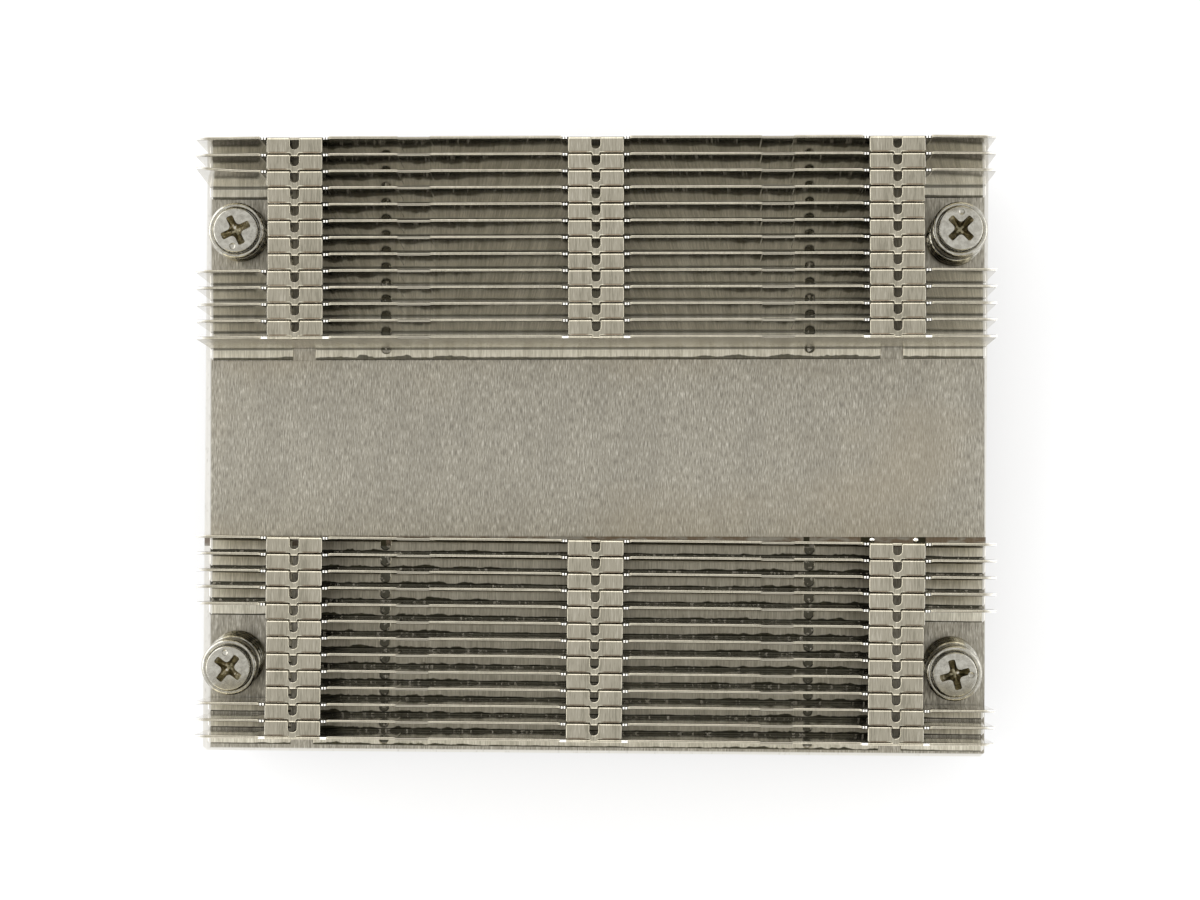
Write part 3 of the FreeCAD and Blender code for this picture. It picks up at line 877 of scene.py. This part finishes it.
def runs(bank):
    """A bank's fins as runs of equal ones that stand side by side."""
    made = []
    for number in range(1, FIN_COUNT + 1):
        short = bank["short"][0] <= number <= bank["short"][1]
        kind = (SHORT_FIN_LENGTH if short else FIN_LENGTH, number < FIN_COUNT, number == bank["bent"])
        if made and made[-1][0] == kind:
            made[-1][1].append(number)
        else:
            made.append((kind, [number]))
    return made


def fin_bank(bank_name, run_tree):
    """A bank's fins, each run of equal ones one piece, set down so that the last fin's corner meets its solid's."""
    bank = BANKS[bank_name]
    shift = None
    for (length, tabbed, bent), numbers in reversed(runs(bank)):
        first, last = numbers[0], numbers[-1]
        name = f"{bank_name}_fins_{first:02d}_{last:02d}" if last > first else f"{bank_name}_fin_{first:02d}_folded"
        values = {
            "Fins": len(numbers), "First": first - 1, "Pitch": bank["pitch"] * MM,
            "Turn": math.radians(bank["turn"]), "Finish": PLATED_SHEET,
        }
        piece = grown(name, run_tree, fin(length, bank, tabbed, bent), values)
        nodes = [f"{bank_name}_fin_{number:02d}" for number in numbers]
        if shift is None:
            low = Vector(min(v.co[k] for v in piece.data.vertices) for k in range(3))
            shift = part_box(nodes[-1])[0] - low + Vector((*bank["slide"], 0.0)) * MM
        piece.data.transform(Matrix.Translation(shift))
        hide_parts(*nodes)
        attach(piece, "heatsink")


RUN_TREE = fin_run_tree()
for bank_name in BANKS:
    fin_bank(bank_name, RUN_TREE)


# Screws and springs


def turn_joint(name):
    """The joint about which a screw turns."""
    return next(joint for joint in frame["joints"] if joint["name"] == f"{name}_turn")


def screw_frame(name):
    """From a screw's own place, with its axis up from the deck, to the object's frame; and the axis there."""
    joint = turn_joint(name)
    axis = -Vector(joint["axis"])
    turn = Vector((0, 0, 1)).rotation_difference(axis)
    origin = Vector(joint["pos_m"]) + axis * HOLE_MIDDLE_TO_DECK * MM
    return Matrix.Translation(origin) @ turn.to_matrix().to_4x4(), axis


def turned(profile, steps=64):
    """Points and faces of an outline of (radius, height) points turned about Z, open at both ends."""
    points, faces = [], []
    circle = [(math.cos(2 * math.pi * k / steps), math.sin(2 * math.pi * k / steps)) for k in range(steps)]
    for radius, height in profile:
        points += [(radius * x, radius * y, height) for x, y in circle]
    for ring in range(len(profile) - 1):
        for k in range(steps):
            a, b = ring * steps + k, ring * steps + (k + 1) % steps
            faces.append((a, b, b + steps, a + steps))
    return points, faces


def cross_outline(turn):
    """The outline of a cross recess, anticlockwise."""
    half, side = CROSS_SPAN / 2, CROSS_ARM / 2
    quarter = [(half - 0.12, -side), (half, -side * 0.6), (half, side * 0.6), (half - 0.12, side)]
    inner = arc(CROSS_FILLET, (side + CROSS_FILLET, side + CROSS_FILLET), 270.0, 180.0, CORNER_STEPS)
    points = []
    for k in range(4):
        angle = math.radians(90.0 * k + turn)
        for x, y in quarter + inner:
            across = x * math.cos(angle) - y * math.sin(angle)
            points.append((across, x * math.sin(angle) + y * math.cos(angle)))
    return points


def screw_head_top(points, faces, marks, rim_start, steps, name):
    """The top of a head between its rim ring and its recess, with the recess and a small round dimple."""
    rim = [tuple(Vector(points[rim_start + k][:2])) for k in range(steps)]
    mouth = cross_outline(CROSS_TURNS[name])
    dimple_turn = math.radians(DIMPLE_TURNS[name])
    cx, cy = DIMPLE_OUT * math.cos(dimple_turn), DIMPLE_OUT * math.sin(dimple_turn)
    dimple = arc(DIMPLE_RADIUS, (cx, cy), 360.0, 0.0, 16)[:-1]
    corners, triangles = cut_out([rim, mouth[::-1], dimple], [])
    first = len(points)
    points += [(c.x, c.y, HEAD_TOP) for c in corners]
    faces += [tuple(first + k for k in face) for face in triangles]
    marks += [0] * len(triangles)
    cross = [[(x * k, y * k, HEAD_TOP + z) for x, y in mouth] for k, z in CROSS_LEVELS]
    loft(points, faces, marks, cross, 1)
    bowl = [
        [(cx + (x - cx) * k, cy + (y - cy) * k, HEAD_TOP + z) for x, y in reversed(dimple)]
        for k, z in DIMPLE_LEVELS
    ]
    loft(points, faces, marks, bowl, 0)


def loft(points, faces, marks, rings, mark):
    """Walls from ring to ring, going inward and down, and a floor on the last."""
    size = len(rings[0])
    first = len(points)
    for ring in rings:
        points += ring
    for level in range(len(rings) - 1):
        for k in range(size):
            a, b = first + level * size + k, first + level * size + (k + 1) % size
            faces.append((a, b, b + size, a + size))
            marks.append(mark)
    centre = len(points)
    last = first + (len(rings) - 1) * size
    points.append(tuple(sum((Vector(points[last + k]) for k in range(size)), Vector()) / size))
    for k in range(size):
        faces.append((last + k, last + (k + 1) % size, centre))
        marks.append(mark)


def screw(name, wound):
    """A captive screw: thread, thin shank, collar, cap with its recess."""
    steps = 64
    chamfer, floor_level = THREAD_CHAMFER, COLLAR_TOP - GROOVE_DEPTH
    profile = [(0.0001, THREAD_END), (THREAD_ROOT - chamfer, THREAD_END), (THREAD_ROOT, THREAD_END + chamfer)]
    profile += [(THREAD_ROOT, THREAD_START), (SHANK_RADIUS, THREAD_START + 0.05), (SHANK_RADIUS, SEAT_HEIGHT)]
    for size, out, up, start in (
        (COLLAR_FOOT_ROUND, COLLAR_RADIUS - COLLAR_FOOT_ROUND, SEAT_HEIGHT + COLLAR_FOOT_ROUND, -90.0),
        (COLLAR_ROUND, COLLAR_RADIUS - COLLAR_ROUND, COLLAR_TOP - COLLAR_ROUND, 0.0),
        (LIP_ROUND, CAP_RADIUS + LIP_OUT, COLLAR_TOP - LIP_ROUND, 90.0),
    ):
        profile += arc(size, (out, up), start, start + 90.0, CORNER_STEPS)
    profile += [(CAP_RADIUS + GROOVE_WIDTH, floor_level), (CAP_RADIUS, floor_level)]
    profile += arc(CAP_ROUND, (CAP_RADIUS - CAP_ROUND, HEAD_TOP - CAP_ROUND), 0.0, 90.0, CORNER_STEPS)
    points, faces = turned(profile, steps)
    marks = [0] * len(faces)
    screw_head_top(points, faces, marks, (len(profile) - 1) * steps, steps, name)
    body = mesh_object(f"screw_{name}_turned", points, faces, [PLATED_STEEL, DRIVER_RECESS])
    for polygon, mark in zip(body.data.polygons, marks):
        polygon.material_index = mark
    piece = joined(body, thread(name, wound))
    place, _ = screw_frame(name)
    piece.data.transform(place)
    smooth(piece, 35.0)
    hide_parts(f"screw_{name}")
    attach(piece, f"{name}_screw")


def joined(first, second):
    """The first object with the second's faces added and close corners merged, in one mesh."""
    work = bmesh.new()
    work.from_mesh(first.data)
    work.from_mesh(second.data)
    bmesh.ops.remove_doubles(work, verts=work.verts, dist=2e-6)
    work.to_mesh(first.data)
    work.free()
    bpy.data.objects.remove(second)
    return first


def thread(name, wound):
    """The thread's ridge, wound about the screw's core."""
    length = THREAD_START - THREAD_END - THREAD_CHAMFER
    turns = length / THREAD_PITCH
    values = {
        "Coil radius": (THREAD_CREST - THREAD_WIRE_RADIUS) * MM, "Wire radius": THREAD_WIRE_RADIUS * MM,
        "Height": length * MM,
        "Live turns": turns, "Closed turns": 0.0, "Run X": 0.0, "Run Y": 0.0,
        "Steps": round(turns * 32) + 1, "Wire sides": 6, "Finish": PLATED_STEEL,
    }
    ridge = grown(f"thread_{name}", wound, mesh_object("start", [], []), values)
    ridge.data.transform(Matrix.Translation((0, 0, (THREAD_END + 0.2) * MM)))
    return ridge


def spring(name, wound):
    """A coil spring that stands clear of the deck by its lean."""
    _, axis = screw_frame(name)
    run = Vector((axis.x / axis.z, axis.y / axis.z))
    clear = SPRING_CLEARANCE + SPRING_OUTSIDE_RADIUS * run.length * SPRING_LEAN_SHARE
    height = SEAT_HEIGHT - COLLAR_RADIUS * run.length - SEAT_CLEARANCE - clear
    values = {
        "Coil radius": (SPRING_OUTSIDE_RADIUS - SPRING_WIRE / 2) * MM, "Wire radius": SPRING_WIRE / 2 * MM,
        "Height": height * MM, "Live turns": SPRING_LIVE_TURNS, "Closed turns": SPRING_CLOSED_TURNS,
        "Run X": run.x, "Run Y": run.y, "Steps": SPRING_STEPS, "Wire sides": 16, "Finish": SPRING_STEEL,
    }
    piece = grown(f"coil_spring_{name}", wound, mesh_object("start", [], []), values)
    middle = Vector(turn_joint(name)["pos_m"])
    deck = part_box("base_plate")[1].z
    foot = Vector((round(middle.x, 4), round(middle.y, 4), deck + clear * MM))
    piece.data.transform(Matrix.Translation(foot))
    smooth(piece, 50.0)
    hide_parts(f"spring_{name}")
    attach(piece, f"{name}_spring")
    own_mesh(piece)


WOUND = wound_tree()
for name in CROSS_TURNS:
    screw(name, WOUND)
    spring(name, WOUND)


# Solder squeezed out beside the plate


def solder_bead(number, x, y):
    """A round bead of solder on the deck, against the first fin of the front bank."""
    outline = [(0.40, 0.0)] + arc(0.44, (0.0, -0.06), 8.0, 80.0, 6) + [(0.0001, 0.38)]
    points, faces = turned(outline, 24)
    piece = mesh_object(f"solder_bead_{number}", points, faces, [PLATED_SOLDER])
    piece.data.transform(Matrix.Translation((x * MM, y * MM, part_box("base_plate")[1].z)))
    smooth(piece, 60.0)
    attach(piece, "heatsink")


solder_bead(1, 36.60, -11.74)
solder_bead(2, 42.35, -11.70)


# Solids that keep their own shape


def dress(node, material):
    """Give a solid its finish."""
    mesh = frame["nodes"][node].data
    mesh.materials.clear()
    mesh.materials.append(material)


dress("base_plate", PLATED_BASE)
dress("centre_plate", PLATED_BASE)
for name in CROSS_TURNS:
    dress(f"retaining_ring_{name}", PLATED_STEEL)


# Floor, light and camera


def floor():
    """A pale floor under the screw tips that shows nearly white and keeps a soft shadow."""
    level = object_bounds()[0].z
    size = 40.0
    work = bmesh.new()
    bmesh.ops.create_grid(work, x_segments=1, y_segments=1, size=size / 2)
    mesh = bpy.data.meshes.new("floor")
    work.to_mesh(mesh)
    work.free()
    mesh.transform(Matrix.Translation((0, 0, level - 0.0001)))
    material = bpy.data.materials.new("pale floor")
    material.use_nodes = True
    made = material.node_tree
    made.nodes.clear()
    paper = step(made, "ShaderNodeBsdfDiffuse", {"Color": (0.86, 0.86, 0.86, 1.0)})[0]
    glow = step(made, "ShaderNodeEmission", {"Color": (1.0, 1.0, 1.0, 1.0), "Strength": 1.0})[0]
    path = step(made, "ShaderNodeLightPath")
    seen = largest(made, path["Is Camera Ray"], path["Is Glossy Ray"], path["Is Transmission Ray"])
    mixed = step(made, "ShaderNodeMixShader", {0: product(made, seen, 0.5), 1: paper, 2: glow})[0]
    end = made.nodes.new("ShaderNodeOutputMaterial")
    made.links.new(mixed, end.inputs["Surface"])
    mesh.materials.append(material)
    plane = bpy.data.objects.new("floor", mesh)
    bpy.context.scene.collection.objects.link(plane)
    plane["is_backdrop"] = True


def lamp(name, place, size, power):
    """A square soft lamp that looks at the object."""
    light = bpy.data.lights.new(name, "AREA")
    light.shape = "RECTANGLE"
    light.size, light.size_y = size
    light.energy = power
    holder = bpy.data.objects.new(name, light)
    holder.location = place
    holder.rotation_mode = "QUATERNION"
    holder.rotation_quaternion = (-Vector(place)).to_track_quat("-Z", "Y")
    holder.visible_camera = False
    bpy.context.scene.collection.objects.link(holder)


def light():
    """Pale surroundings, and soft lamps low on each side."""
    world = bpy.data.worlds.new("studio")
    world.use_nodes = True
    made = world.node_tree
    made.nodes["Background"].inputs["Color"].default_value = (1.0, 1.0, 1.0, 1.0)
    made.nodes["Background"].inputs["Strength"].default_value = 0.85
    bpy.context.scene.world = world
    lamp("rear lamp", (-0.5, 1.4, 0.9), (2.4, 1.6), 24.0)
    lamp("left lamp", (-1.4, 0.2, 0.9), (1.4, 1.6), 14.0)
    lamp("right lamp", (1.4, 0.2, 0.9), (1.4, 1.6), 9.0)
    lamp("front lamp", (0.0, -1.4, 0.9), (2.4, 1.2), 14.0)


def camera():
    """A long lens straight over the object, a little right of its middle and turned half a degree."""
    top = CAD_BOX[1].z
    place = Vector((7.2 * MM, -3.4 * MM, top + 626.4 * MM))
    aim = Vector((0.59 * MM, -0.16 * MM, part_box("base_plate")[1].z))
    data = bpy.data.cameras.new("camera")
    data.lens = 147.15
    data.sensor_width = 36.0
    data.sensor_fit = "HORIZONTAL"
    data.clip_start, data.clip_end = 0.01, 50.0
    holder = bpy.data.objects.new("camera", data)
    back = (place - aim).normalized()
    right = Vector((-0.00785, 1.0, 0.0)).cross(back).normalized()
    up = back.cross(right)
    turn = Matrix((right, up, back)).transposed()
    holder.matrix_world = Matrix.Translation(place) @ turn.to_4x4()
    bpy.context.scene.collection.objects.link(holder)
    bpy.context.scene.camera = holder


floor()
light()
camera()
bpy.context.scene.view_settings.view_transform = "Standard"
